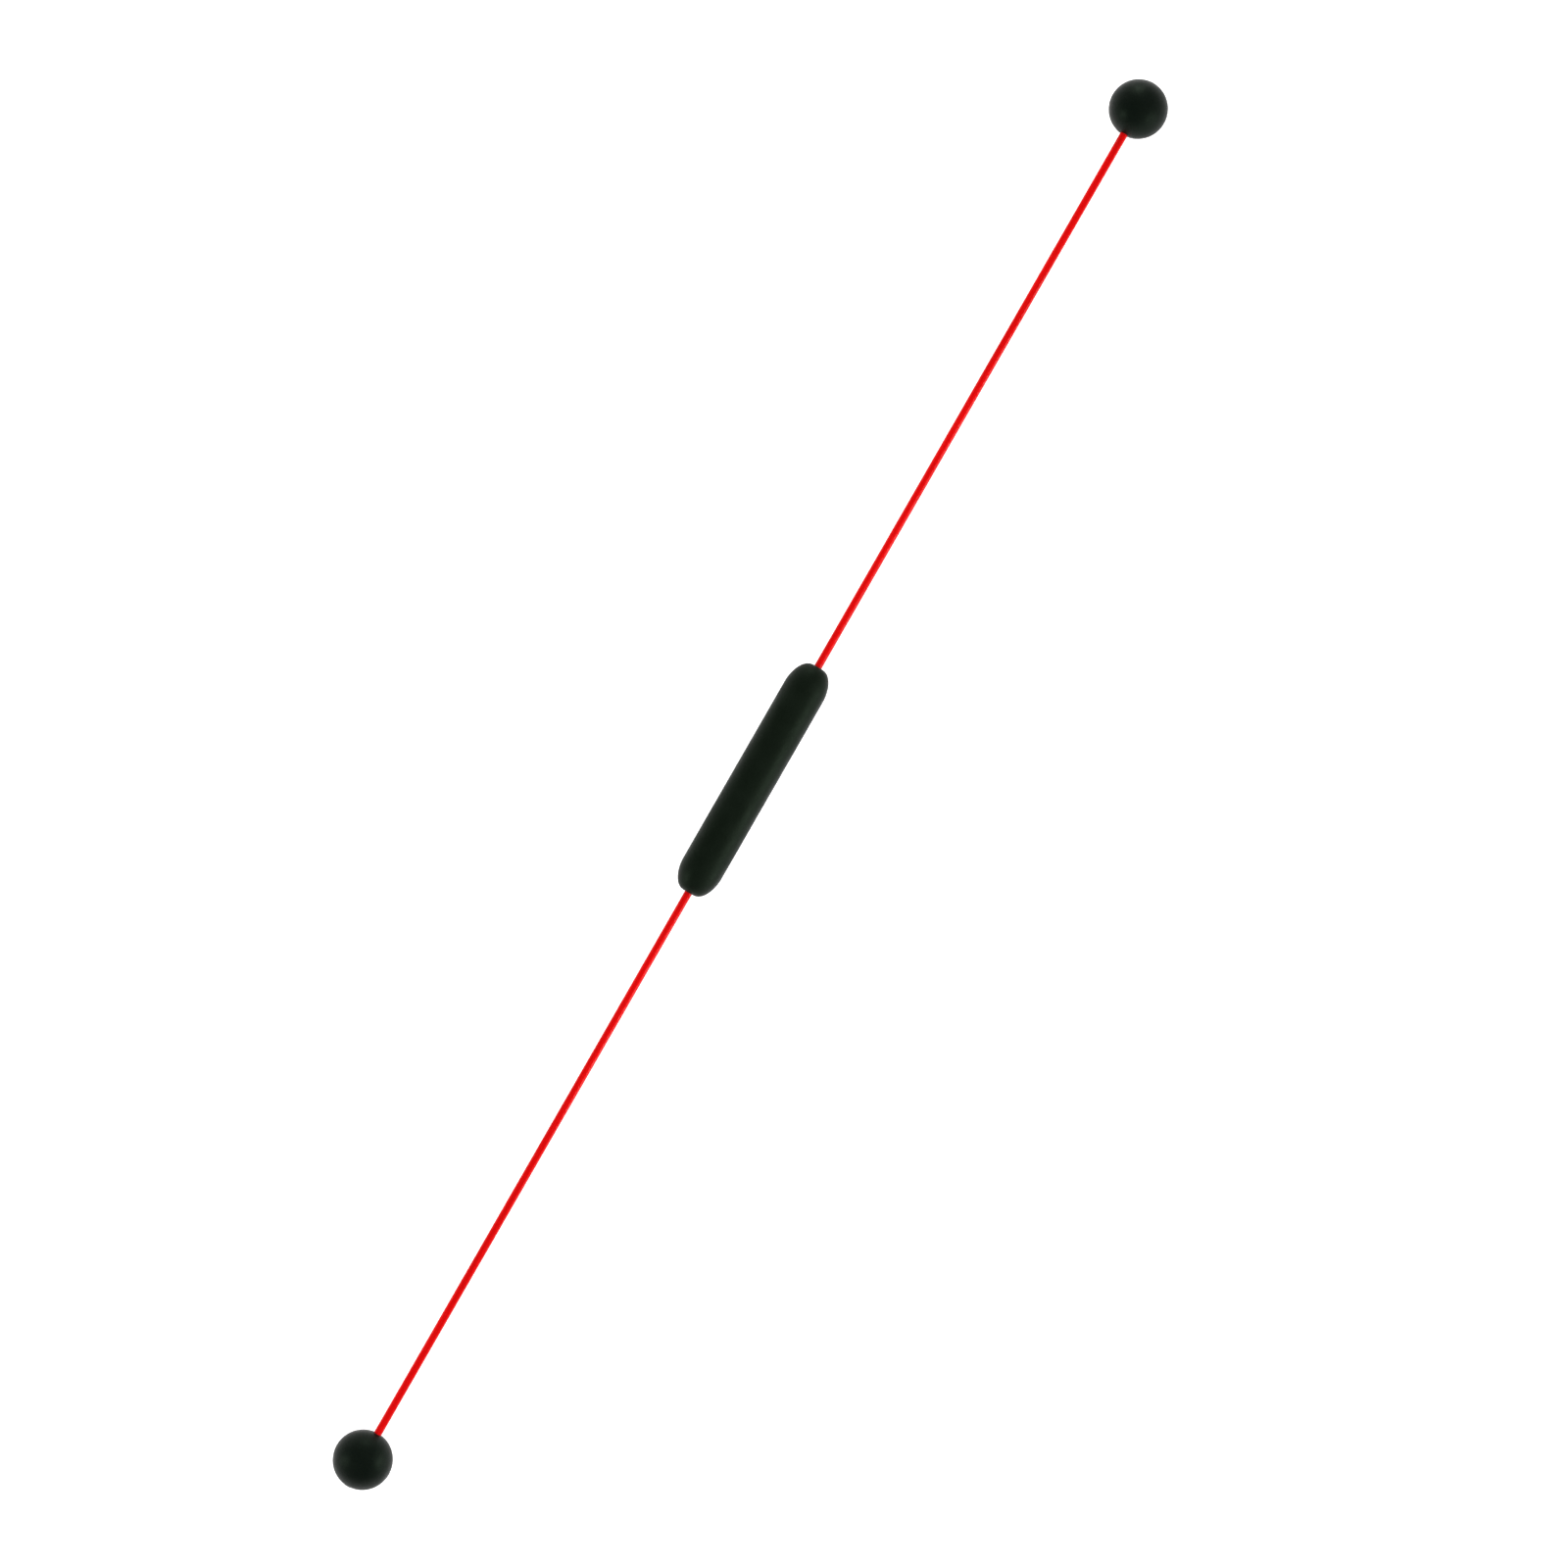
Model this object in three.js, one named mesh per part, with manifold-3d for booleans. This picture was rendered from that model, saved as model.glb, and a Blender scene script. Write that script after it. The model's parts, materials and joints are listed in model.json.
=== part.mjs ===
// A flexing swing trainer stick: a thin fibreglass rod with a rubber grip round its middle and a
// rubber ball at each end. It lies along X on its two balls, in millimetres, +Z up, with the origin
// on the surface below the middle of the grip.
//
// The rod is one springy piece. Here each half is cut into short lengths, so that hinges between
// them can follow its bend in the XY plane.

import * as THREE from 'three';
import { mergeVertices } from 'three/addons/utils/BufferGeometryUtils.js';
import Module from 'manifold-3d';

// Driving dimensions
const OVERALL_LENGTH = 1600;
const BALL_DIAMETER = 59;
const ROD_DIAMETER = 8;
const GRIP_DIAMETER = 43.5;
const GRIP_LENGTH = 257;
const BENDS_PER_HALF = 6; // hinges that share the bend of one half of the rod
const BEND_GAP = 0.8; // space between two lengths of rod, so that they can tilt
const FIT_GAP = 0.3; // space between two pieces that touch in the real object

// Places along the stick
const BALL_RADIUS = BALL_DIAMETER / 2;
const BALL_CENTRE = OVERALL_LENGTH / 2 - BALL_RADIUS;
const GRIP_END = GRIP_LENGTH / 2;

// The hinges are closer together near the grip, where the rod bends most under a force at the ball,
// so that all of them turn by the same angle.
const bendAt = (number) => (
  GRIP_END + (BALL_CENTRE - GRIP_END) * (1 - Math.sqrt(1 - (number - 0.5) / BENDS_PER_HALF))
);

// Radii that several pieces share
const ROD_RADIUS = ROD_DIAMETER / 2;
const ROD_BORE = ROD_RADIUS + FIT_GAP;
const GRIP_RADIUS = GRIP_DIAMETER / 2;

// Rounded ends of the grip: a curve from a small flat round the rod to the grip's side, and how far
// its two handles reach along the flat and along the side
const NOSE_FLAT_RADIUS = 6.2;
const NOSE_LENGTH = 27.3;
const NOSE_FLAT_REACH = 9.8;
const NOSE_SIDE_REACH = 11.8;
const NOSE_FALL = 0.3; // how far the curve has fallen at the end of its first handle
const NOSE_STEPS = 11;

// Rigid core inside the grip
const CORE_RADIUS = 15;
const CORE_INNER_RADIUS = 11.5;
const CORE_HALF_LENGTH = 103.5;
const CORE_END_WALL = 5;
const BUSH_RADIUS = 8;
const BUSH_FLANGE_RADIUS = 11;
const BUSH_FLANGE = 3.2;

// Collar that stops the rod sliding through the core
const COLLAR_RADIUS = 10;
const COLLAR_HALF_WIDTH = 8;
const COLLAR_RIB = 3;
const RIB_BORE = ROD_RADIUS + 1;
const SET_SCREW_RADIUS = 2;

// Screws that hold the two halves of the core together
const BOSS_RADIUS = 4;
const BOSS_OFFSET = 9;
const BOSS_SPACING = 52;
const SCREW_RADIUS = 1.5;
const SCREW_HEAD_RADIUS = 2.75;
const SCREW_HEAD = 2.4;
const SCREW_SEAT = -6.5;
const SCREW_TIP = 7;

// Hard core moulded into each ball, and the ferrule that anchors the rod in it
const HUB_RADIUS = 13;
const HUB_HALF_LENGTH = 15;
const WAIST_RADIUS = 10;
const WAIST_BOTTOM = 4; // half the length of the waist at its narrowest
const WAIST_TOP = 7; // and where it has come out to the core's full radius
const FERRULE_RADIUS = 6;
const FERRULE_START = -17;
const FERRULE_END = 13;
const ROD_END = 5; // how far the rod runs past the ball's centre
const PIN_RADIUS = 1.5;
const PIN_PLACE = 9;
const PIN_HALF_LENGTH = 12.7;

const ROUND = 24; // sides of the rod, the balls and the small round pieces
const GRIP_ROUND = 32; // of the grip's sleeve and core
const PIN_ROUND = 16; // of screws, pins and their holes

const redLacquer = new THREE.MeshStandardMaterial({ color: 0xe00000, roughness: 0.25, metalness: 0 });
const blackGrip = new THREE.MeshStandardMaterial({ color: 0x1b201b, roughness: 0.55, metalness: 0 });
const blackBall = new THREE.MeshStandardMaterial({ color: 0x191e1a, roughness: 0.5, metalness: 0 });
const greyPlastic = new THREE.MeshStandardMaterial({ color: 0x55585a, roughness: 0.6, metalness: 0 });
const bushRubber = new THREE.MeshStandardMaterial({ color: 0x303234, roughness: 0.8, metalness: 0 });
const aluminium = new THREE.MeshStandardMaterial({ color: 0xc4c7ca, roughness: 0.35, metalness: 1 });
const steel = new THREE.MeshStandardMaterial({ color: 0x9fa3a6, roughness: 0.3, metalness: 1 });

const wasm = await Module();
wasm.setup();

// The bare closed surface of a geometry, with the vertices that its faces share merged.
function bare(geometry) {
  const copy = geometry.clone();
  copy.deleteAttribute('normal');
  copy.deleteAttribute('uv');
  return mergeVertices(copy, 1e-4);
}

function toSolid(geometry) {
  const merged = bare(geometry);
  return new wasm.Manifold(new wasm.Mesh({
    numProp: 3,
    vertProperties: new Float32Array(merged.attributes.position.array),
    triVerts: new Uint32Array(merged.index.array),
  }));
}

function toGeometry(solid) {
  const mesh = solid.getMesh();
  const geometry = new THREE.BufferGeometry();
  geometry.setAttribute('position', new THREE.BufferAttribute(new Float32Array(mesh.vertProperties), 3));
  geometry.setIndex(new THREE.BufferAttribute(new Uint32Array(mesh.triVerts), 1));
  return geometry;
}

// A solid of revolution round the stick's axis (local Y). The profile is [radius, station] pairs,
// anticlockwise round the material, and it starts and ends on the axis or closes on itself. Each
// radius is measured to the middle of a flat side, and flat sides face straight up and down.
function turned(profile, sides = ROUND) {
  const halfSide = Math.PI / sides;
  const points = profile.map(([radius, station]) => (
    new THREE.Vector2(radius / Math.cos(halfSide), station)
  ));
  return toSolid(new THREE.LatheGeometry(points, sides, halfSide));
}

function ring(outer, inner, start, end, sides = ROUND) {
  return turned([[inner, start], [outer, start], [outer, end], [inner, end], [inner, start]], sides);
}

function bar(radius, start, end, sides = ROUND) {
  return turned([[0, start], [radius, start], [radius, end], [0, end]], sides);
}

// A cylinder of this radius from one point to another.
function rodBetween(radius, from, to) {
  const direction = new THREE.Vector3().subVectors(to, from);
  const geometry = new THREE.CylinderGeometry(radius, radius, direction.length(), PIN_ROUND);
  const turn = new THREE.Quaternion().setFromUnitVectors(
    new THREE.Vector3(0, 1, 0),
    direction.clone().normalize(),
  );
  geometry.applyQuaternion(turn);
  geometry.translate((from.x + to.x) / 2, (from.y + to.y) / 2, (from.z + to.z) / 2);
  return toSolid(geometry);
}

const joined = (solids) => solids.reduce((all, solid) => all.add(solid));

function addPiece(parent, name, solid, material) {
  const mesh = new THREE.Mesh(toGeometry(solid), material);
  mesh.name = name;
  parent.add(mesh);
}

// The rod: its centre length, which is rigid in the grip, and the lengths between the bends.
function addRodCentre(parent) {
  const end = bendAt(1) - BEND_GAP / 2;
  addPiece(parent, 'rod_centre', bar(ROD_RADIUS, -end, end), redLacquer);
}

function addHalfRod(parent, side) {
  for (let number = 1; number <= BENDS_PER_HALF; number += 1) {
    const start = bendAt(number) + BEND_GAP / 2;
    const end = number < BENDS_PER_HALF ? bendAt(number + 1) - BEND_GAP / 2 : BALL_CENTRE + ROD_END;
    addPiece(parent, `rod_${side}_${number}`, bar(ROD_RADIUS, start, end), redLacquer);
  }
}

// The grip's rubber sleeve: a plain cylinder whose ends curve down to a small flat round the rod.
function addGripSleeve(parent) {
  const end = new THREE.CubicBezierCurve(
    new THREE.Vector2(NOSE_FLAT_RADIUS, GRIP_END),
    new THREE.Vector2(NOSE_FLAT_RADIUS + NOSE_FLAT_REACH, GRIP_END - NOSE_FALL),
    new THREE.Vector2(GRIP_RADIUS, GRIP_END - NOSE_LENGTH + NOSE_SIDE_REACH),
    new THREE.Vector2(GRIP_RADIUS, GRIP_END - NOSE_LENGTH),
  ).getPoints(NOSE_STEPS).map((point) => [point.x, point.y]);
  const bottom = end.map(([radius, station]) => [radius, -station]);
  const cavity = CORE_RADIUS + FIT_GAP;
  const cavityEnd = CORE_HALF_LENGTH + FIT_GAP;
  const profile = [
    [ROD_BORE, -GRIP_END], ...bottom, ...end.toReversed(), [ROD_BORE, GRIP_END],
    [ROD_BORE, cavityEnd], [cavity, cavityEnd], [cavity, -cavityEnd], [ROD_BORE, -cavityEnd],
    [ROD_BORE, -GRIP_END],
  ];
  addPiece(parent, 'grip_sleeve', turned(profile, GRIP_ROUND), blackGrip);
}

// The core: a tube in two halves, with a wall at each end for a bush, two ribs that trap the
// collar, and four screw bosses.
function addGripCore(parent) {
  const wallStart = CORE_HALF_LENGTH - CORE_END_WALL;
  const ribStart = COLLAR_HALF_WIDTH + FIT_GAP;
  const ribEnd = ribStart + COLLAR_RIB;
  const tube = ring(CORE_RADIUS, CORE_INNER_RADIUS, -CORE_HALF_LENGTH, CORE_HALF_LENGTH, GRIP_ROUND);
  const inWall = CORE_INNER_RADIUS + 1; // walls and ribs run a little way into the tube
  const walls = [
    ring(inWall, BUSH_RADIUS + FIT_GAP, wallStart, CORE_HALF_LENGTH),
    ring(inWall, BUSH_RADIUS + FIT_GAP, -CORE_HALF_LENGTH, -wallStart),
    ring(inWall, RIB_BORE, ribStart, ribEnd),
    ring(inWall, RIB_BORE, -ribEnd, -ribStart),
  ];
  const places = [-1, 1].flatMap((along) => [-1, 1].map((across) => (
    [across * BOSS_OFFSET, along * BOSS_SPACING]
  )));
  const upright = (radius, x, y, low, high) => (
    rodBetween(radius, new THREE.Vector3(x, y, low), new THREE.Vector3(x, y, high))
  );
  const bosses = places.map(([x, y]) => upright(BOSS_RADIUS, x, y, -CORE_RADIUS, CORE_RADIUS));
  const envelope = bar(CORE_RADIUS, -CORE_HALF_LENGTH, CORE_HALF_LENGTH, GRIP_ROUND);
  const holes = places.flatMap(([x, y]) => [
    upright(SCREW_RADIUS + FIT_GAP, x, y, SCREW_SEAT - 1, SCREW_TIP + FIT_GAP),
    upright(SCREW_HEAD_RADIUS + FIT_GAP, x, y, -2 * CORE_RADIUS, SCREW_SEAT),
  ]);
  const core = joined([tube, ...walls, ...bosses]).intersect(envelope).subtract(joined(holes));
  const halfBox = (side) => {
    const box = new THREE.BoxGeometry(3 * CORE_RADIUS, 3 * CORE_HALF_LENGTH, 2 * CORE_RADIUS);
    box.translate(0, 0, side * (CORE_RADIUS + FIT_GAP / 2));
    return toSolid(box);
  };
  addPiece(parent, 'grip_core_upper', core.intersect(halfBox(1)), greyPlastic);
  addPiece(parent, 'grip_core_lower', core.intersect(halfBox(-1)), greyPlastic);

  const headTop = SCREW_SEAT - FIT_GAP;
  places.forEach(([x, y], index) => {
    const shank = upright(SCREW_RADIUS, x, y, headTop - 1, SCREW_TIP);
    const head = upright(SCREW_HEAD_RADIUS, x, y, headTop - SCREW_HEAD, headTop);
    addPiece(parent, `grip_core_screw_${index + 1}`, shank.add(head), steel);
  });
}

// A flanged rubber bush in each end wall centres the rod where it leaves the core.
function addMouthBush(parent, side) {
  const flangeEnd = CORE_HALF_LENGTH - CORE_END_WALL - FIT_GAP;
  const flangeStart = flangeEnd - BUSH_FLANGE;
  const profile = [
    [ROD_BORE, flangeStart], [BUSH_FLANGE_RADIUS, flangeStart], [BUSH_FLANGE_RADIUS, flangeEnd],
    [BUSH_RADIUS, flangeEnd], [BUSH_RADIUS, CORE_HALF_LENGTH], [ROD_BORE, CORE_HALF_LENGTH],
    [ROD_BORE, flangeStart],
  ];
  addPiece(parent, `mouth_bush_${side}`, turned(profile), bushRubber);
}

// A collar round the middle of the rod, locked by a set screw from each side.
function addCentreCollar(parent) {
  const across = (radius, from, to) => (
    rodBetween(radius, new THREE.Vector3(from, 0, 0), new THREE.Vector3(to, 0, 0))
  );
  const collar = ring(COLLAR_RADIUS, ROD_BORE, -COLLAR_HALF_WIDTH, COLLAR_HALF_WIDTH)
    .subtract(across(SET_SCREW_RADIUS + FIT_GAP, -2 * COLLAR_RADIUS, 2 * COLLAR_RADIUS));
  addPiece(parent, 'centre_collar', collar, aluminium);
  const screwOuter = COLLAR_RADIUS - FIT_GAP;
  addPiece(parent, 'collar_set_screw_1', across(SET_SCREW_RADIUS, ROD_BORE, screwOuter), steel);
  addPiece(parent, 'collar_set_screw_2', across(SET_SCREW_RADIUS, -screwOuter, -ROD_BORE), steel);
}

// The rubber ball. Each flat touches the true sphere at its middle, so the ball is the right size
// from side to side, and it stands on the flat below it. Stations count from the ball's centre,
// away from the grip.
function ballShell() {
  const cavity = HUB_RADIUS + FIT_GAP;
  const waist = WAIST_RADIUS + FIT_GAP;
  const cavityEnd = HUB_HALF_LENGTH + FIT_GAP;
  const ferruleBore = FERRULE_RADIUS + FIT_GAP;
  const ferruleStart = FERRULE_START - FIT_GAP;
  const profile = [
    [0, cavityEnd], [cavity, cavityEnd], [cavity, WAIST_TOP], [waist, WAIST_BOTTOM],
    [waist, -WAIST_BOTTOM], [cavity, -WAIST_TOP], [cavity, -cavityEnd],
    [ferruleBore, -cavityEnd], [ferruleBore, ferruleStart],
    [ROD_BORE, ferruleStart], [ROD_BORE, -Math.sqrt(BALL_RADIUS ** 2 - ROD_BORE ** 2)],
  ];
  const step = Math.PI / ROUND;
  const corner = BALL_RADIUS / Math.cos(step / 2);
  for (let turn = ROUND - 1.5; turn > 0; turn -= 1) {
    profile.push([corner * Math.sin(turn * step), corner * Math.cos(turn * step)]);
  }
  profile.push([0, BALL_RADIUS]);
  return turned(profile);
}

// The hard core that the ball is moulded on, the ferrule bonded to the end of the rod, and the pin
// that locks the two together.
function addBall(parent, side) {
  const acrossBall = (radius, half) => (
    rodBetween(radius, new THREE.Vector3(-half, PIN_PLACE, 0), new THREE.Vector3(half, PIN_PLACE, 0))
  );
  const pinHole = acrossBall(PIN_RADIUS + FIT_GAP, 2 * HUB_RADIUS);
  const hub = turned([
    [0, FERRULE_END + FIT_GAP], [FERRULE_RADIUS + FIT_GAP, FERRULE_END + FIT_GAP],
    [FERRULE_RADIUS + FIT_GAP, -HUB_HALF_LENGTH], [HUB_RADIUS, -HUB_HALF_LENGTH],
    [HUB_RADIUS, -WAIST_TOP], [WAIST_RADIUS, -WAIST_BOTTOM],
    [WAIST_RADIUS, WAIST_BOTTOM], [HUB_RADIUS, WAIST_TOP],
    [HUB_RADIUS, HUB_HALF_LENGTH], [0, HUB_HALF_LENGTH],
  ]);
  const ferrule = turned([
    [0, ROD_END + FIT_GAP], [ROD_BORE, ROD_END + FIT_GAP], [ROD_BORE, FERRULE_START],
    [FERRULE_RADIUS, FERRULE_START], [FERRULE_RADIUS, FERRULE_END], [0, FERRULE_END],
  ]);
  const ball = new THREE.Group();
  ball.position.y = BALL_CENTRE;
  parent.add(ball);
  addPiece(ball, `ball_${side}`, ballShell(), blackBall);
  addPiece(ball, `ball_core_${side}`, hub.subtract(pinHole), greyPlastic);
  addPiece(ball, `rod_ferrule_${side}`, ferrule.subtract(pinHole), steel);
  addPiece(ball, `ferrule_pin_${side}`, acrossBall(PIN_RADIUS, PIN_HALF_LENGTH), steel);
}

// The stick's own axis is local Y. The left half is the right half turned round the vertical.
const stick = new THREE.Group();
stick.rotation.z = -Math.PI / 2;
stick.position.z = BALL_RADIUS;
addRodCentre(stick);
addGripSleeve(stick);
addGripCore(stick);
addCentreCollar(stick);
for (const side of ['right', 'left']) {
  const half = new THREE.Group();
  half.rotation.z = side === 'right' ? 0 : Math.PI;
  stick.add(half);
  addHalfRod(half, side);
  addMouthBush(half, side);
  addBall(half, side);
}

const model = new THREE.Group();
model.add(stick);
export default model;
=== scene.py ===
"""Looks and studio for a flexing swing trainer stick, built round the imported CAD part.

Everything is in metres in the part's own frame: +X along the stick, +Z up, the floor at z = 0.
"""

import json
import math

import bmesh
import bpy
from mathutils import Matrix, Vector


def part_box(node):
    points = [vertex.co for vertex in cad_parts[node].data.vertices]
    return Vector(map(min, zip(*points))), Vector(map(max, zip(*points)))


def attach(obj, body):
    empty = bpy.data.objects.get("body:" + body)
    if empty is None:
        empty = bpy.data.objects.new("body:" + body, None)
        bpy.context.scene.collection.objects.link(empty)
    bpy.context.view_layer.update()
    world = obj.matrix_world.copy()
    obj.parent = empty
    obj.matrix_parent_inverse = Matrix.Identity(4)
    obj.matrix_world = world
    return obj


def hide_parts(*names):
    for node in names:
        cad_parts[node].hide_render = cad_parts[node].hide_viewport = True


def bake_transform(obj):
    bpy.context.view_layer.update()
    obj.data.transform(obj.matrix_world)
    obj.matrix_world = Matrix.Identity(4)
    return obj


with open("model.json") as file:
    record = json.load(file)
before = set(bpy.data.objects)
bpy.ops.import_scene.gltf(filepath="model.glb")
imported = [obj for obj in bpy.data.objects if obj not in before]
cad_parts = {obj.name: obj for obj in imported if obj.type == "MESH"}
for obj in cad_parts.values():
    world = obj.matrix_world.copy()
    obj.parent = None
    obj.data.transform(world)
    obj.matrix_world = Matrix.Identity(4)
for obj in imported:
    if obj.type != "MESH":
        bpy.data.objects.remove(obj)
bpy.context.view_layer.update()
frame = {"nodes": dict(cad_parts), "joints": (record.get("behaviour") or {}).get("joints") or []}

# ---- sizes from the frame ----

MM = 0.001

sleeve_low, sleeve_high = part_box("grip_sleeve")
ball_low, ball_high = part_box("ball_right")
rod_low, rod_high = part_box("rod_right_2")

AXIS_HEIGHT = (ball_low.z + ball_high.z) / 2
BALL_RADIUS = (ball_high.z - ball_low.z) / 2
BALL_CENTRE = ball_high.x - BALL_RADIUS
GRIP_RADIUS = (sleeve_high.z - sleeve_low.z) / 2
GRIP_END = sleeve_high.x
ROD_RADIUS = (rod_high.z - rod_low.z) / 2

SIDES = {"right": 1, "left": -1}
RING_SPACING = 2.5 * MM  # of the rod's mesh, so that it bends smoothly

# ---- sizes that the frame doesn't give; those of hidden pieces are the CAD part's ----

# Rubber and metal hug the rod, where the CAD part keeps a gap
SNUG_BORE = ROD_RADIUS + 0.04 * MM
MOUTH_ROUNDING = 0.5 * MM
FIT_GAP = 0.3 * MM

# The grip's rounded ends: a curve from a small flat round the rod to the grip's side
NOSE_FLAT_RADIUS = 6.2 * MM
NOSE_LENGTH = 27.3 * MM
NOSE_FLAT_REACH = 9.8 * MM
NOSE_SIDE_REACH = 11.8 * MM
NOSE_FALL = 0.3 * MM

# The rigid core in the grip
CORE_RADIUS = 15 * MM
CORE_INNER_RADIUS = 11.5 * MM
CORE_HALF = 103.5 * MM
CORE_END_WALL = 5 * MM
BUSH_RADIUS = 8 * MM
BUSH_FLANGE = 3.2 * MM
RIB_BORE = ROD_RADIUS + 1 * MM
RIB_START = 8.3 * MM
RIB_END = 11.3 * MM
BOSS_RADIUS = 4 * MM

# The hard core in a ball and the ferrule in it. Stations count from the ball's centre, away from
# the grip.
HUB_RADIUS = 13 * MM
HUB_HALF = 15 * MM
WAIST_RADIUS = 10 * MM
WAIST_BOTTOM = 4 * MM
WAIST_TOP = 7 * MM
FERRULE_RADIUS = 6 * MM
FERRULE_START = -17 * MM
FERRULE_END = 13 * MM
ROD_END = 5 * MM
CRIMPS = [place * MM for place in (-13.5, -10.5, -7.5)]
CRIMP_DEPTH = 0.35 * MM

# Screws and their threads
SCREW_HEAD = 2.4 * MM
SCREW_SHANK_RADIUS = 1.5 * MM
THREAD_PITCH = 0.9 * MM
THREAD_DEPTH = 0.28 * MM
THREAD_ROWS = 8  # of the mesh, in one pitch
SET_SCREW_RADIUS = 2 * MM
SOCKET_SHARE = 0.62  # of the shank's radius
SOCKET_DEPTH = 1.6 * MM
SCREW_TAPER = 0.7 * MM
TIP_SHARE = 0.55  # of the shank's radius

# The fine line that the two halves of a mould leave, along both sides of the rubber
PARTING_DEPTH = 0.16 * MM
PARTING_WIDTH = 0.45 * MM
PARTING_ROWS = (-1.6, -1, -0.5, 0, 0.5, 1, 1.6)  # of the mesh, across the line, in widths

EDGE = 0.4 * MM  # rounding of the edges of hidden pieces
SHARP = math.radians(35)  # edges with a larger angle than this stay sharp

# How finely the meshes are divided: steps once round a piece, and points along an outline's curves
GRIP_AROUND = 112
BALL_AROUND = 104
HIDDEN_AROUND = 96
BUSH_AROUND = 72
THIN_AROUND = 48
TOOL_AROUND = 32
NOSE_STEPS = 28
GRIP_SIDE_STEPS = 36
SPHERE_STEPS = 76
MOUTH_STEPS = 5


# ---- mesh helpers ----

def arc(centre, radius, start, end, steps):
    """Points on an arc, as (station, radius) pairs. Angles are in degrees, from the +X direction."""
    points = []
    for step in range(steps + 1):
        angle = math.radians(start + (end - start) * step / steps)
        points.append((centre[0] + radius * math.cos(angle), centre[1] + radius * math.sin(angle)))
    return points


def bezier(a, b, c, d, steps):
    """Points on a cubic Bezier curve."""
    points = []
    for step in range(steps + 1):
        t = step / steps
        weights = ((1 - t) ** 3, 3 * (1 - t) ** 2 * t, 3 * (1 - t) * t ** 2, t ** 3)
        points.append(tuple(sum(w * p[axis] for w, p in zip(weights, (a, b, c, d))) for axis in (0, 1)))
    return points


def even(start, end, steps):
    """Places from start to end, without the last one."""
    return [start + (end - start) * step / steps for step in range(steps)]


def round_angles(count):
    """Angles once round a piece's axis."""
    return [2 * math.pi * step / count for step in range(count)]


def moulded_angles(count, radius):
    """Angles once round a rubber piece, closer together at the parting line on each side."""
    line = [PARTING_WIDTH / radius * row for row in PARTING_ROWS]
    angles = []
    for side in (0, math.pi):
        angles += [side + offset for offset in line]
        angles += even(side + line[-1], side + math.pi + line[0], count // 2)[1:]
    return angles


def parting_line(outside_points):
    """A shape for turned() whose first points, the outside, dip a little on both sides."""
    def shape(index, station, radius, angle):
        if index >= outside_points:
            return radius
        away = min(1, abs(math.sin(angle)) * radius / PARTING_WIDTH)
        return max(SNUG_BORE, radius - PARTING_DEPTH * (1 - away) ** 2 * (1 + 2 * away))
    return shape


def facing(direction, origin=(0, 0, AXIS_HEIGHT)):
    """A placement that turns local +Z to a direction and puts the local origin at a point."""
    turn = Vector(direction).to_track_quat("Z", "Y").to_matrix().to_4x4()
    return Matrix.Translation(origin) @ turn


MOST_OF_SIDE = 0.45  # that the rounding of a corner may take
ROUNDING_PLACES = (0, 0.3, 0.7, 1)  # of its points, along its curve


def softened(points, size, is_ring=True):
    """An outline with its corners rounded over this size, or less where its sides are short."""
    result = []
    for index, corner in enumerate(points):
        if not is_ring and index in (0, len(points) - 1):
            result.append(corner)
            continue
        here = Vector(corner)
        ends = []
        for other in (points[index - 1], points[(index + 1) % len(points)]):
            away = Vector(other) - here
            ends.append(here + away.normalized() * min(size, away.length * MOST_OF_SIDE))
        for t in ROUNDING_PLACES:
            result.append(tuple(ends[0] * (1 - t) ** 2 + here * 2 * t * (1 - t) + ends[1] * t ** 2))
    return result


def turned(name, profile, angles, place, shape=None, is_ring=False):
    """A solid of revolution about local +Z, from (station, radius) pairs.

    A radius of 0 makes a pole, and a ring's profile closes on itself. shape gives the radius for a
    profile point's index, station and radius at an angle, where the piece isn't round.
    """
    mesh = bmesh.new()
    rows = []
    for index, (station, radius) in enumerate(profile):
        row = []
        for angle in angles if radius > 0 else [0]:
            r = shape(index, station, radius, angle) if shape and radius > 0 else radius
            row.append(mesh.verts.new((r * math.cos(angle), r * math.sin(angle), station)))
        rows.append(row)
    pairs = list(zip(rows, rows[1:]))
    if is_ring:
        pairs.append((rows[-1], rows[0]))
    for one, other in pairs:
        count = max(len(one), len(other))
        for step in range(count):
            following = (step + 1) % count
            corners = [one[step % len(one)], one[following % len(one)]]
            corners += [other[following % len(other)], other[step % len(other)]]
            mesh.faces.new(list(dict.fromkeys(corners)))
    mesh.transform(place)
    bmesh.ops.recalc_face_normals(mesh, faces=mesh.faces)
    return as_object(name, mesh)


def cylinder(radius, start, end, place, count=TOOL_AROUND):
    """A plain closed cylinder, for cutting and joining."""
    profile = [(start, 0), (start, radius), (end, radius), (end, 0)]
    return turned("tool", profile, round_angles(count), place)


def combine(piece, operation, tool):
    """Cuts a tool from a piece, joins it or keeps what they share, and removes the tool."""
    modifier = piece.modifiers.new("boolean", "BOOLEAN")
    modifier.operation = operation
    modifier.solver = "MANIFOLD"
    modifier.object = tool
    depsgraph = bpy.context.evaluated_depsgraph_get()
    result = bpy.data.meshes.new_from_object(piece.evaluated_get(depsgraph))
    piece.modifiers.clear()
    old = piece.data
    piece.data = result
    result.name = piece.name
    bpy.data.meshes.remove(old)
    remove(tool)
    result.shade_smooth()
    result.set_sharp_from_angle(angle=SHARP)


def remove(obj):
    """Removes an object and its mesh."""
    data = obj.data
    bpy.data.objects.remove(obj)
    bpy.data.meshes.remove(data)


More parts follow.
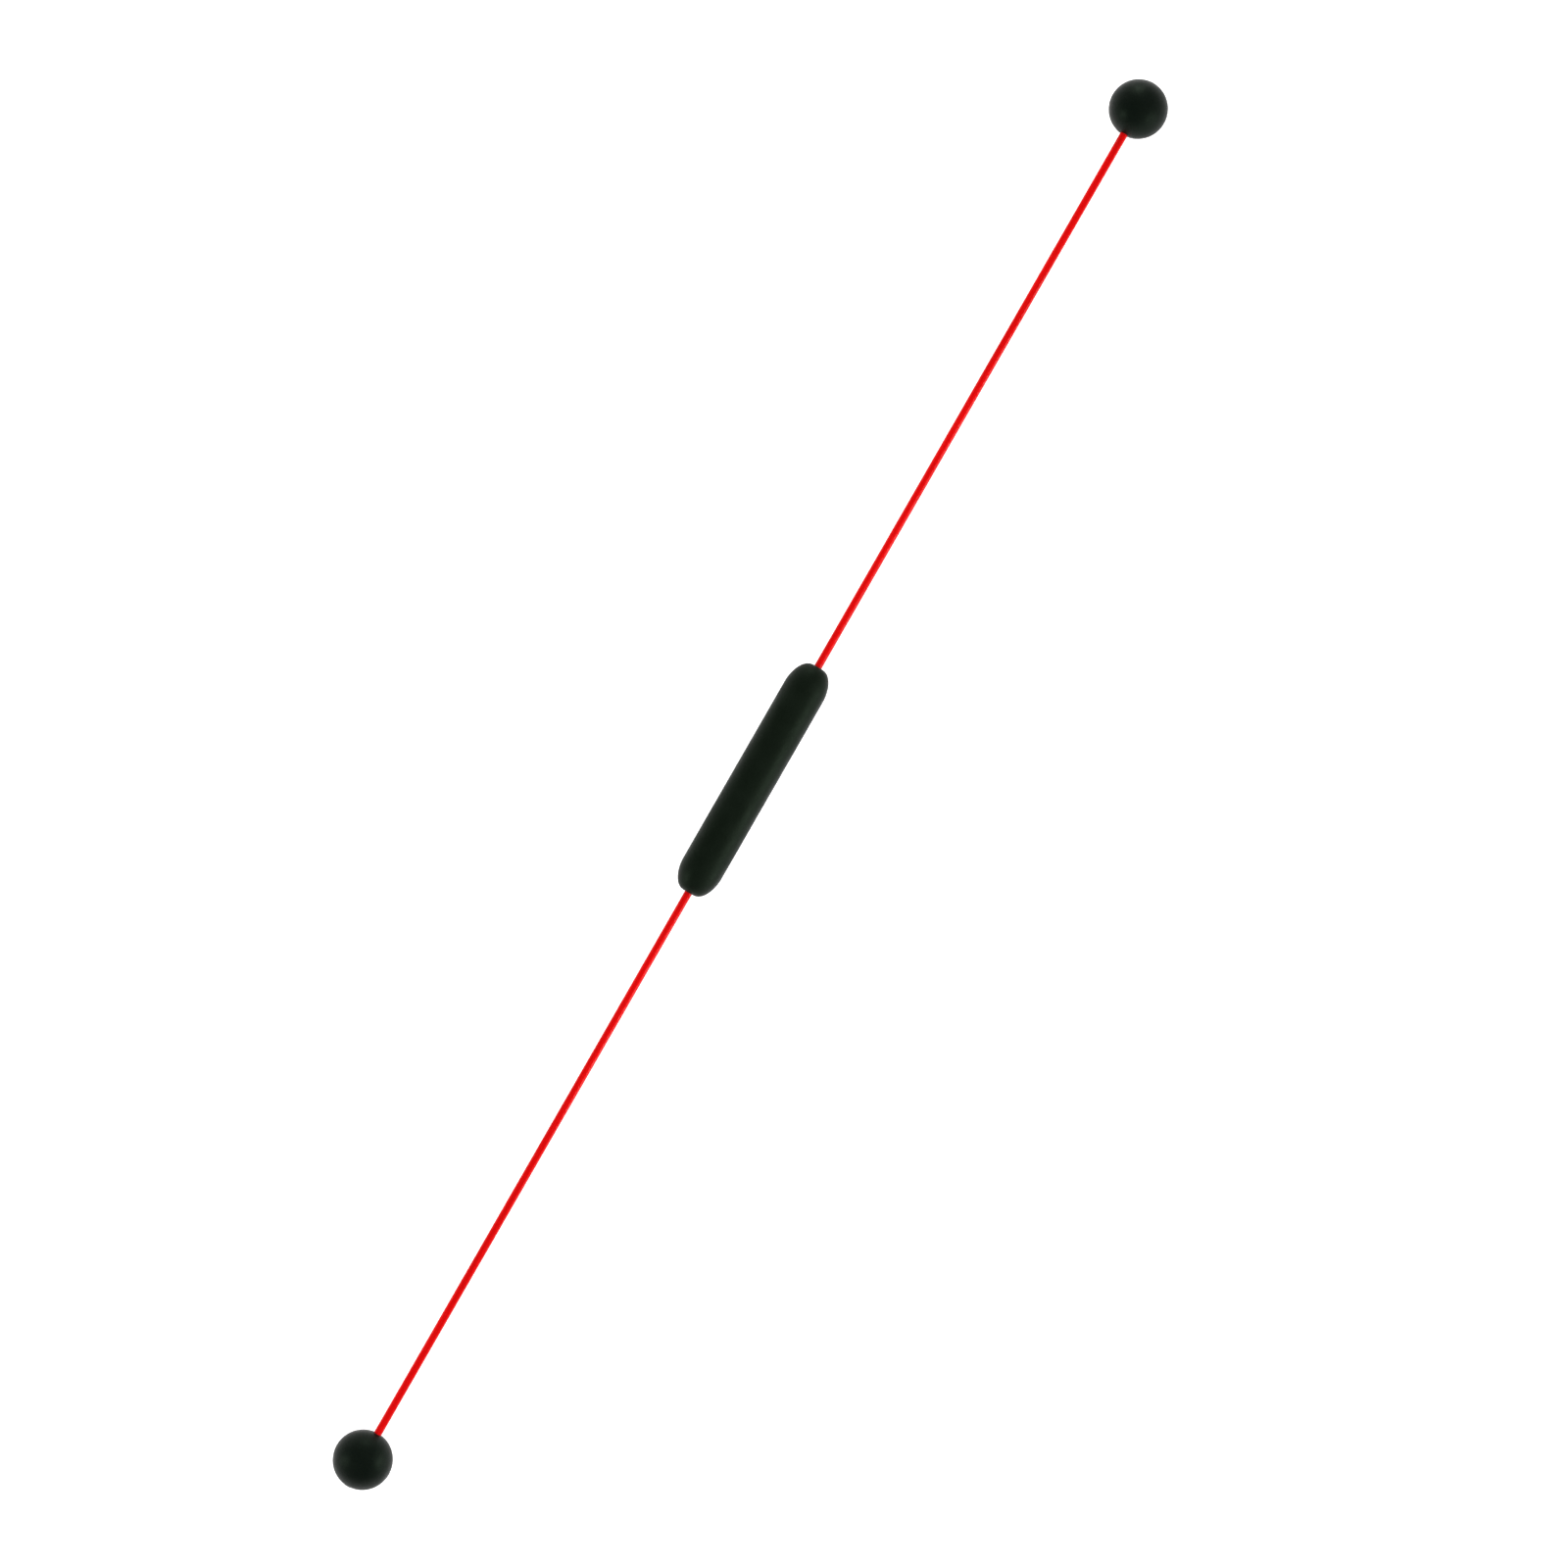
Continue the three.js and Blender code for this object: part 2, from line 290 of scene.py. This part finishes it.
def as_object(name, mesh):
    """A smooth-shaded object from a bmesh, whose sharp edges stay sharp."""
    data = bpy.data.meshes.new(name)
    mesh.to_mesh(data)
    mesh.free()
    data.shade_smooth()
    data.set_sharp_from_angle(angle=SHARP)
    obj = bpy.data.objects.new(name, data)
    bpy.context.scene.collection.objects.link(obj)
    return obj


# ---- materials ----

# Most of a noise's values lie between these
NOISE_LOW = 0.3
NOISE_HIGH = 0.7


class Nodes:
    """A new node material with one Principled shader, and short calls that add nodes to it."""

    def __init__(self, name, **inputs):
        self.material = bpy.data.materials.new(name)
        self.material.use_nodes = True
        self.tree = self.material.node_tree
        self.shader = self.tree.nodes["Principled BSDF"]
        self.place = self.tree.nodes.new("ShaderNodeTexCoord").outputs["Object"]
        for label, value in inputs.items():
            self.shader.inputs[label.replace("_", " ")].default_value = value

    def add(self, kind):
        return self.tree.nodes.new(kind)

    def link(self, source, target):
        self.tree.links.new(source, target)

    def noise(self, scale, detail=3.0, stretch=(1, 1, 1)):
        """Noise whose features are about 1 / scale metres across, times stretch."""
        mapping = self.add("ShaderNodeMapping")
        mapping.inputs["Scale"].default_value = [1 / s for s in stretch]
        self.link(self.place, mapping.inputs["Vector"])
        noise = self.add("ShaderNodeTexNoise")
        noise.inputs["Scale"].default_value = scale
        noise.inputs["Detail"].default_value = detail
        self.link(mapping.outputs["Vector"], noise.inputs["Vector"])
        return noise.outputs["Fac"]

    def ranged(self, value, low, high):
        """A noise's values spread from low to high."""
        node = self.add("ShaderNodeMapRange")
        node.inputs["From Min"].default_value = NOISE_LOW
        node.inputs["From Max"].default_value = NOISE_HIGH
        node.inputs["To Min"].default_value = low
        node.inputs["To Max"].default_value = high
        self.link(value, node.inputs["Value"])
        return node.outputs["Result"]

    def colour(self, value, first, second, start=NOISE_LOW, end=NOISE_HIGH):
        """The base colour goes from first to second as value rises."""
        ramp = self.add("ShaderNodeValToRGB")
        ramp.color_ramp.elements[0].position = start
        ramp.color_ramp.elements[1].position = end
        ramp.color_ramp.elements[0].color = (*first, 1)
        ramp.color_ramp.elements[1].color = (*second, 1)
        self.link(value, ramp.inputs["Fac"])
        self.link(ramp.outputs["Color"], self.shader.inputs["Base Color"])

    def roughness(self, value, low, high):
        self.link(self.ranged(value, low, high), self.shader.inputs["Roughness"])

    def bump(self, *layers):
        """Relief from (height, depth in metres) layers, one on the other."""
        normal = None
        for height, depth in layers:
            node = self.add("ShaderNodeBump")
            node.inputs["Distance"].default_value = depth
            self.link(height, node.inputs["Height"])
            if normal is not None:
                self.link(normal, node.inputs["Normal"])
            normal = node.outputs["Normal"]
        self.link(normal, self.shader.inputs["Normal"])


def rod_lacquer():
    """Glossy red lacquer over glass fibres that run along the rod."""
    nodes = Nodes(
        "rod_lacquer", IOR=1.2, Specular_Tint=(1, 0.15, 0.15, 1), Coat_Weight=0.12, Coat_Roughness=0.06)
    fibres = nodes.noise(700, detail=2, stretch=(60, 1, 1))
    patches = nodes.noise(14, detail=3)
    nodes.colour(fibres, (0.46, 0.0, 0.0), (0.6, 0.001, 0.001))
    nodes.roughness(patches, 0.2, 0.3)
    nodes.bump((fibres, 0.012 * MM), (nodes.noise(260, detail=1), 0.02 * MM))
    return nodes.material


def moulded_rubber(name, dark, light, low, high, grain):
    """Satin black rubber: fine stipple from the mould, and patches a little duller than others."""
    nodes = Nodes(name, IOR=1.15, Specular_Tint=(0.65, 1, 0.65, 1))
    patches = nodes.noise(38, detail=4)
    nodes.colour(patches, dark, light)
    nodes.roughness(patches, low, high)
    nodes.bump((nodes.noise(grain, detail=2), 0.16 * MM), (nodes.noise(90, detail=2), 0.2 * MM))
    return nodes.material


def core_plastic():
    """Grey glass-filled nylon as it comes from the mould, with a fine spark texture."""
    nodes = Nodes("core_plastic", Specular_IOR_Level=0.4)
    flow = nodes.noise(55, detail=4, stretch=(3, 1, 1))
    nodes.colour(flow, (0.075, 0.083, 0.085), (0.105, 0.115, 0.118))
    nodes.roughness(flow, 0.5, 0.65)
    nodes.bump((nodes.noise(1800, detail=2), 0.03 * MM))
    return nodes.material


def bush_rubber():
    """Soft dark rubber, dull, with a trace of bloom."""
    nodes = Nodes("bush_rubber", Specular_IOR_Level=0.25)
    bloom = nodes.noise(120, detail=5)
    nodes.colour(bloom, (0.022, 0.022, 0.024), (0.045, 0.045, 0.048), 0.4, 0.8)
    nodes.roughness(bloom, 0.65, 0.85)
    nodes.bump((nodes.noise(1500, detail=3), 0.04 * MM))
    return nodes.material


def turned_metal(name, first, second, low, high):
    """Metal with the fine rings that a lathe leaves round the stick's axis."""
    nodes = Nodes(name, Metallic=1.0)
    rings = nodes.noise(2600, detail=2, stretch=(1, 30, 30))
    nodes.colour(rings, first, second)
    nodes.roughness(nodes.noise(300, detail=3), low, high)
    nodes.bump((rings, 0.01 * MM))
    return nodes.material


MATERIALS = {
    "rod_lacquer": rod_lacquer(),
    "grip_rubber": moulded_rubber(
        "grip_rubber",
        dark=(0.0026, 0.0044, 0.0026), light=(0.0040, 0.0064, 0.0040),
        low=0.36, high=0.56, grain=1300),
    "ball_rubber": moulded_rubber(
        "ball_rubber",
        dark=(0.0017, 0.0030, 0.0023), light=(0.0029, 0.0044, 0.0034),
        low=0.34, high=0.5, grain=1100),
    "core_plastic": core_plastic(),
    "bush_rubber": bush_rubber(),
    "collar_aluminium": turned_metal(
        "collar_aluminium", first=(0.52, 0.53, 0.54), second=(0.66, 0.67, 0.68), low=0.28, high=0.42),
    "steel": turned_metal(
        "steel", first=(0.42, 0.43, 0.44), second=(0.56, 0.57, 0.58), low=0.24, high=0.38),
}


def finish_piece(piece, slot, body, *replaced):
    """Gives a piece its material, hides the CAD nodes that it stands for and, if a body is named, hangs it
    on that body's empty.
    """
    piece.data.materials.clear()
    piece.data.materials.append(MATERIALS[slot])
    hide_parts(*replaced)
    if body:
        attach(piece, body)


# ---- the pieces that show ----

def make_grip():
    """The rubber sleeve: a plain cylinder with blunt rounded ends, open at the rod."""
    mouth = arc((GRIP_END - MOUTH_ROUNDING, SNUG_BORE + MOUTH_ROUNDING), MOUTH_ROUNDING, -90, 0, MOUTH_STEPS)
    nose = bezier(
        (GRIP_END, NOSE_FLAT_RADIUS),
        (GRIP_END - NOSE_FALL, NOSE_FLAT_RADIUS + NOSE_FLAT_REACH),
        (GRIP_END - NOSE_LENGTH + NOSE_SIDE_REACH, GRIP_RADIUS),
        (GRIP_END - NOSE_LENGTH, GRIP_RADIUS),
        NOSE_STEPS,
    )
    right = mouth + nose
    left = [(-x, r) for x, r in reversed(right)]
    side = [(x, GRIP_RADIUS) for x in even(right[-1][0], left[0][0], GRIP_SIDE_STEPS)[1:]]
    outside = right + side + left
    hollow = CORE_HALF + FIT_GAP
    inside = [
        (-hollow, SNUG_BORE), (-hollow, CORE_RADIUS + FIT_GAP),
        (hollow, CORE_RADIUS + FIT_GAP), (hollow, SNUG_BORE),
    ]
    grip = turned(
        "grip_rubber", outside + inside, moulded_angles(GRIP_AROUND, GRIP_RADIUS),
        facing((1, 0, 0)), shape=parting_line(len(outside)), is_ring=True,
    )
    finish_piece(grip, "grip_rubber", "grip", "grip_sleeve")


def hub_outline(gap):
    """The outside of a ball's hard core from its grip end to its far end, grown by a gap."""
    return [
        (-HUB_HALF - gap, HUB_RADIUS + gap), (-WAIST_TOP, HUB_RADIUS + gap),
        (-WAIST_BOTTOM, WAIST_RADIUS + gap), (WAIST_BOTTOM, WAIST_RADIUS + gap),
        (WAIST_TOP, HUB_RADIUS + gap), (HUB_HALF + gap, HUB_RADIUS + gap),
    ]


def make_ball(side):
    """A rubber ball: a true sphere, hollow for its hard core, that hugs the rod at its mouth."""
    lip = SNUG_BORE + MOUTH_ROUNDING
    lip_station = -math.sqrt((BALL_RADIUS - MOUTH_ROUNDING) ** 2 - lip ** 2)
    lip_angle = math.degrees(math.atan2(lip, lip_station))
    sphere = [(BALL_RADIUS, 0)] + arc((0, 0), BALL_RADIUS, 0, lip_angle, SPHERE_STEPS)[1:]
    mouth = arc((lip_station, lip), MOUTH_ROUNDING, lip_angle, 270, MOUTH_STEPS)[1:]
    hollow = [
        (FERRULE_START - FIT_GAP, SNUG_BORE), (FERRULE_START - FIT_GAP, FERRULE_RADIUS + FIT_GAP),
        (-HUB_HALF - FIT_GAP, FERRULE_RADIUS + FIT_GAP), *hub_outline(FIT_GAP),
        (HUB_HALF + FIT_GAP, 0),
    ]
    outside = sphere + mouth
    ball = turned(
        f"ball_rubber_{side}", outside + hollow, moulded_angles(BALL_AROUND, BALL_RADIUS),
        at_ball(side), shape=parting_line(len(outside)),
    )
    finish_piece(ball, "ball_rubber", f"{side}_ball", f"ball_{side}")


def at_ball(side):
    """The placement of what turns about the stick's axis at a ball's centre, away from the grip."""
    sign = SIDES[side]
    return facing((sign, 0, 0), (sign * BALL_CENTRE, 0, AXIS_HEIGHT))


def rod_length(name, start, end, sign=1):
    """A closed length of the rod, with enough rings to bend smoothly."""
    steps = round((end - start) / RING_SPACING)
    stations = even(start, end, steps) + [end]
    profile = [(start, 0)] + [(station, ROD_RADIUS) for station in stations] + [(end, 0)]
    return turned(name, profile, round_angles(THIN_AROUND), facing((sign, 0, 0)))


def make_rod():
    """The rod: a straight middle, a length round each hinge, and an end in each ball."""
    middle = rod_length("rod_in_grip", -GRIP_END, GRIP_END)
    finish_piece(middle, "rod_lacquer", "grip", "rod_centre")
    for side, sign in SIDES.items():
        joints = [joint for joint in frame["joints"] if joint["pos_m"][0] * sign > 0]
        joints.sort(key=lambda joint: abs(joint["pos_m"][0]))
        hinges = [abs(joint["pos_m"][0]) for joint in joints]
        ends = [(one + other) / 2 for one, other in zip(hinges, hinges[1:])]
        ends = [GRIP_END, *ends, BALL_CENTRE - BALL_RADIUS]
        before = "rod_centre"
        for number, (joint, hinge) in enumerate(zip(joints, hinges), 1):
            start, end = ends[number - 1], ends[number]
            bend = rod_length(f"rod_bend_{side}_{number}", start, end, sign)
            after = f"rod_{side}_{number}"
            finish_piece(bend, "rod_lacquer", None, before, after)
            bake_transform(bend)
            before = after
        tip = rod_length(f"rod_end_{side}", BALL_CENTRE - BALL_RADIUS, BALL_CENTRE + ROD_END, sign)
        finish_piece(tip, "rod_lacquer", f"{side}_ball", before)


# ---- the pieces inside the grip ----

def other_half(sign):
    """A block over the core's other half and half of the gap between the two."""
    block = bmesh.new()
    bmesh.ops.create_cube(block, size=1)
    width = 3 * CORE_RADIUS
    block.transform(Matrix.Diagonal((3 * CORE_HALF, width, width, 1)))
    shift = AXIS_HEIGHT - sign * (width / 2 - FIT_GAP / 2)
    block.transform(Matrix.Translation((0, 0, shift)))
    return as_object("tool", block)


def make_core():
    """Two half shells with a wall at each end, two ribs for the collar and four screw bosses."""
    wall = CORE_HALF - CORE_END_WALL
    half = [
        (RIB_START, RIB_BORE), (RIB_END, RIB_BORE), (RIB_END, CORE_INNER_RADIUS),
        (wall, CORE_INNER_RADIUS), (wall, BUSH_RADIUS + FIT_GAP), (CORE_HALF, BUSH_RADIUS + FIT_GAP),
        (CORE_HALF, CORE_RADIUS),
    ]
    outline = [(RIB_START, CORE_INNER_RADIUS), *half]
    outline += [(-x, r) for x, r in reversed(outline)]
    screws = [name for name in frame["nodes"] if name.startswith("grip_core_screw_")]
    boss_limit = (CORE_RADIUS + CORE_INNER_RADIUS) / 2
    seat = SCREW_HEAD + FIT_GAP
    for half_name, sign in {"upper": 1, "lower": -1}.items():
        core = turned(
            f"core_{half_name}", softened(outline, EDGE), round_angles(HIDDEN_AROUND),
            facing((1, 0, 0)), is_ring=True,
        )
        for name in screws:
            low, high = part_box(name)
            place = facing((0, 0, 1), ((low.x + high.x) / 2, (low.y + high.y) / 2, AXIS_HEIGHT))
            boss = cylinder(BOSS_RADIUS, -CORE_RADIUS, CORE_RADIUS, place)
            combine(boss, "INTERSECT", cylinder(
                boss_limit, -CORE_HALF, CORE_HALF, facing((1, 0, 0)), HIDDEN_AROUND))
            combine(core, "UNION", boss)
        for name in screws:
            low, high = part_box(name)
            place = facing((0, 0, 1), ((low.x + high.x) / 2, (low.y + high.y) / 2, low.z))
            head_radius = (high.x - low.x) / 2
            combine(core, "DIFFERENCE", cylinder(
                SCREW_SHANK_RADIUS + FIT_GAP, 0, high.z - low.z + FIT_GAP, place))
            combine(core, "DIFFERENCE", cylinder(head_radius + FIT_GAP, -CORE_RADIUS, seat, place))
        combine(core, "DIFFERENCE", other_half(sign))
        finish_piece(core, "core_plastic", "grip", f"grip_core_{half_name}")


def make_bush(side):
    """A flanged rubber bush that centres the rod in the core's end wall."""
    flange_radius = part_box(f"mouth_bush_{side}")[1].y
    flange_end = CORE_HALF - CORE_END_WALL - FIT_GAP
    flange_start = flange_end - BUSH_FLANGE
    outline = [
        (flange_start, SNUG_BORE), (flange_start, flange_radius), (flange_end, flange_radius),
        (flange_end, BUSH_RADIUS), (CORE_HALF, BUSH_RADIUS), (CORE_HALF, SNUG_BORE),
    ]
    bush = turned(
        f"bush_{side}", softened(outline, EDGE), round_angles(BUSH_AROUND), facing((SIDES[side], 0, 0)),
        is_ring=True,
    )
    finish_piece(bush, "bush_rubber", "grip", f"mouth_bush_{side}")


def make_collar():
    """A collar with rounded edges, and a plain hole across the rod for its two set screws."""
    low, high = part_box("centre_collar")
    outline = [(low.x, SNUG_BORE), (low.x, high.y), (high.x, high.y), (high.x, SNUG_BORE)]
    collar = turned(
        "collar", softened(outline, 2 * EDGE), round_angles(HIDDEN_AROUND), facing((1, 0, 0)),
        is_ring=True,
    )
    screw_low, screw_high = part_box("collar_set_screw_1")
    hole = (screw_high.x - screw_low.x) / 2 + FIT_GAP
    combine(collar, "DIFFERENCE", cylinder(hole, 2 * low.y, 2 * high.y, facing((0, 1, 0))))
    finish_piece(collar, "collar_aluminium", "grip", "centre_collar")


# ---- screws and pins ----

def threaded(first, last, socket_points, socket_radius):
    """A shape for turned(): a hexagonal socket at the first points, and a thread from first to last."""
    def shape(index, station, radius, angle):
        if index < socket_points:
            flat = (angle + math.pi / 6) % (math.pi / 3) - math.pi / 6
            return socket_radius / math.cos(flat)
        if first < station < last:
            phase = (station / THREAD_PITCH - angle / (2 * math.pi)) % 1
            fade = min(1, (station - first) / THREAD_PITCH, (last - station) / THREAD_PITCH)
            return radius - THREAD_DEPTH * fade * abs(2 * phase - 1)
        return radius
    return shape


def make_screw(name, node, direction, head, shank_radius):
    """A screw with a hexagonal socket. direction is from its head to its tip."""
    low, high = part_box(node)
    middle = (low + high) / 2
    axis = Vector(direction)
    length = abs((high - low).dot(axis))
    start = middle - axis * length / 2
    widest = (high.x - low.x) / 2
    socket = shank_radius * SOCKET_SHARE
    depth = min(SOCKET_DEPTH, length / 3)
    thread_end = length - SCREW_TAPER
    rows = round((thread_end - head) / (THREAD_PITCH / THREAD_ROWS))
    stations = even(head, thread_end, rows)
    profile = [(depth, 0), (depth, socket), (0, socket)]
    socket_points = len(profile)
    if head > 0:
        profile += [
            (0, widest - 2 * EDGE), (EDGE, widest - EDGE / 2), (2 * EDGE, widest), (head, widest),
        ]
    else:
        profile += [(0, shank_radius - EDGE), (EDGE, shank_radius)]
    profile += [(station, shank_radius) for station in stations if station >= (head or 2 * EDGE)]
    profile += [
        (thread_end, shank_radius - THREAD_DEPTH), (length, shank_radius * TIP_SHARE), (length, 0),
    ]
    screw = turned(
        name, profile, round_angles(THIN_AROUND), facing(direction, start),
        shape=threaded(max(head, EDGE), thread_end, socket_points, socket),
    )
    finish_piece(screw, "steel", "grip", node)


def make_pin(side):
    """The pin across the ferrule, with rounded ends."""
    low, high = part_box(f"ferrule_pin_{side}")
    radius = (high.z - low.z) / 2
    outline = [(low.y, 0), (low.y, radius), (high.y, radius), (high.y, 0)]
    middle = (low + high) / 2
    pin = turned(
        f"pin_{side}", softened(outline, EDGE, is_ring=False), round_angles(THIN_AROUND),
        facing((0, 1, 0), (middle.x, 0, middle.z)),
    )
    finish_piece(pin, "steel", f"{side}_ball", f"ferrule_pin_{side}")


# ---- the pieces inside a ball ----

def pin_hole(side):
    """A tool for the hole that the pin goes through."""
    low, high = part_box(f"ferrule_pin_{side}")
    middle = (low + high) / 2
    radius = (high.z - low.z) / 2 + FIT_GAP
    return cylinder(radius, -2 * HUB_RADIUS, 2 * HUB_RADIUS, facing((0, 1, 0), (middle.x, 0, middle.z)))


def make_hub(side):
    """The hard core that the rubber is moulded on, with a waist that keys it in the rubber."""
    bore = FERRULE_RADIUS + FIT_GAP
    bottom = FERRULE_END + FIT_GAP
    outline = [(bottom, 0), (bottom, bore), (-HUB_HALF, bore), *hub_outline(0), (HUB_HALF, 0)]
    hub = turned(
        f"ball_hub_{side}", softened(outline, EDGE, is_ring=False), round_angles(HIDDEN_AROUND),
        at_ball(side),
    )
    combine(hub, "DIFFERENCE", pin_hole(side))
    finish_piece(hub, "core_plastic", f"{side}_ball", f"ball_core_{side}")


def make_ferrule(side):
    """The steel cap on the end of the rod, with three crimped rings."""
    outside = [(FERRULE_START, FERRULE_RADIUS)]
    for place in CRIMPS:
        outside += [
            (place - 2 * CRIMP_DEPTH, FERRULE_RADIUS), (place, FERRULE_RADIUS - CRIMP_DEPTH),
            (place + 2 * CRIMP_DEPTH, FERRULE_RADIUS),
        ]
    outside += [(FERRULE_END, FERRULE_RADIUS), (FERRULE_END, 0)]
    bottom = ROD_END + FIT_GAP
    outline = [(bottom, 0), (bottom, SNUG_BORE), (FERRULE_START, SNUG_BORE), *outside]
    ferrule = turned(
        f"ferrule_{side}", softened(outline, EDGE, is_ring=False), round_angles(HIDDEN_AROUND),
        at_ball(side),
    )
    combine(ferrule, "DIFFERENCE", pin_hole(side))
    finish_piece(ferrule, "steel", f"{side}_ball", f"rod_ferrule_{side}")


# ---- studio ----

LEAN = math.radians(29.85)  # of the stick from the picture's upright, to the right at its +X end
NEARER = math.radians(2.0)  # how far the -X end is tilted towards the camera
DISTANCE = 4.0
VIEW_WIDTH = 1.5507  # across the picture, at the stick
SENSOR_MM = 36
AIM_RIGHT = 0.0305  # from the middle of the stick to the middle of the picture
AIM_UP = -0.0041

FLOOR_SIZE = 20
FLOOR_CELLS = 4
FLOOR_GLOW = 0.6

# The surround: white walls and a dimmer ceiling. Heights are sines of the angle above the horizon.
WALL_TOP = 0.06
CEILING = 0.4
WALL_LIGHT = 1.0
CEILING_LIGHT = 0.5


def make_camera():
    """Looks almost straight down on the stick where it lies."""
    right = Vector((
        math.sin(LEAN) * math.cos(NEARER), -math.cos(LEAN), math.sin(LEAN) * math.sin(NEARER)))
    up = Vector((
        math.cos(LEAN) * math.cos(NEARER), math.sin(LEAN), math.cos(LEAN) * math.sin(NEARER)))
    back = right.cross(up)
    data = bpy.data.cameras.new("camera")
    data.sensor_width = SENSOR_MM
    data.lens = SENSOR_MM * DISTANCE / VIEW_WIDTH
    camera = bpy.data.objects.new("camera", data)
    camera.location = (
        Vector((0, 0, AXIS_HEIGHT)) + DISTANCE * back + AIM_RIGHT * right + AIM_UP * up
    )
    camera.rotation_mode = "QUATERNION"
    camera.rotation_quaternion = Matrix((right, up, back)).transposed().to_quaternion()
    bpy.context.scene.collection.objects.link(camera)
    bpy.context.scene.camera = camera


def make_floor():
    """A plain pale table top that is lit a little from below, as for product pictures."""
    mesh = bmesh.new()
    bmesh.ops.create_grid(mesh, x_segments=FLOOR_CELLS, y_segments=FLOOR_CELLS, size=FLOOR_SIZE)
    floor = as_object("floor", mesh)
    nodes = Nodes("floor_white", Specular_IOR_Level=0.1, Roughness=0.9)
    nodes.colour(nodes.noise(3, detail=2), (0.84, 0.84, 0.84), (0.86, 0.86, 0.86))
    nodes.shader.inputs["Emission Color"].default_value = (1, 1, 1, 1)
    nodes.shader.inputs["Emission Strength"].default_value = FLOOR_GLOW
    floor.data.materials.append(nodes.material)


def softbox(name, place, target, size, power, mirrored=True):
    """A rectangular soft light that looks at target. Gloss shows it only if it is mirrored."""
    data = bpy.data.lights.new(name, "AREA")
    data.shape = "RECTANGLE"
    data.size, data.size_y = size
    data.energy = power
    light = bpy.data.objects.new(name, data)
    light.location = place
    light.rotation_mode = "QUATERNION"
    light.rotation_quaternion = (Vector(place) - Vector(target)).to_track_quat("Z", "Y")
    light.visible_camera = False
    light.visible_glossy = mirrored
    bpy.context.scene.collection.objects.link(light)


def make_lights():
    """Softboxes on the stick's -Y side and past each end, a scrim over it all, and the surround."""
    softbox("key", place=(0.22, -2.1, 0.85), target=(0, 0, 0), size=(1.5, 0.8), power=32)
    softbox("grip_light", place=(-0.3, -0.8, 0.2), target=(-0.1, 0, 0.03), size=(0.5, 0.2), power=1.3)
    softbox("top", place=(2.9, 1.25, 0.8), target=(0.7, 0, 0), size=(0.9, 0.9), power=36)
    softbox("left", place=(-2.1, 2.3, 1.1), target=(-0.7, 0, 0), size=(0.9, 0.9), power=32)
    softbox("scrim", place=(0, 0, 2.5), target=(0, 0, 0), size=(3, 2), power=36, mirrored=False)
    world = bpy.data.worlds.new("studio")
    world.use_nodes = True
    tree = world.node_tree
    background = tree.nodes["Background"]
    background.inputs["Color"].default_value = (1, 1, 1, 1)
    place = tree.nodes.new("ShaderNodeTexCoord")
    split = tree.nodes.new("ShaderNodeSeparateXYZ")
    walls = tree.nodes.new("ShaderNodeMapRange")
    walls.interpolation_type = "SMOOTHSTEP"
    walls.inputs["From Min"].default_value = WALL_TOP
    walls.inputs["From Max"].default_value = CEILING
    walls.inputs["To Min"].default_value = WALL_LIGHT
    walls.inputs["To Max"].default_value = CEILING_LIGHT
    tree.links.new(place.outputs["Generated"], split.inputs["Vector"])
    tree.links.new(split.outputs["Z"], walls.inputs["Value"])
    tree.links.new(walls.outputs["Result"], background.inputs["Strength"])
    bpy.context.scene.world = world
    bpy.context.scene.view_settings.view_transform = "Standard"


make_camera()
make_floor()
make_lights()
make_grip()
make_rod()
make_core()
make_collar()
for number in range(1, 5):
    make_screw(
        f"core_screw_{number}", f"grip_core_screw_{number}", (0, 0, 1), SCREW_HEAD,
        SCREW_SHANK_RADIUS,
    )
for number, direction in {1: (0, 1, 0), 2: (0, -1, 0)}.items():
    make_screw(
        f"set_screw_{number}", f"collar_set_screw_{number}", direction, 0, SET_SCREW_RADIUS)
for side in SIDES:
    make_bush(side)
    make_ball(side)
    make_hub(side)
    make_ferrule(side)
    make_pin(side)
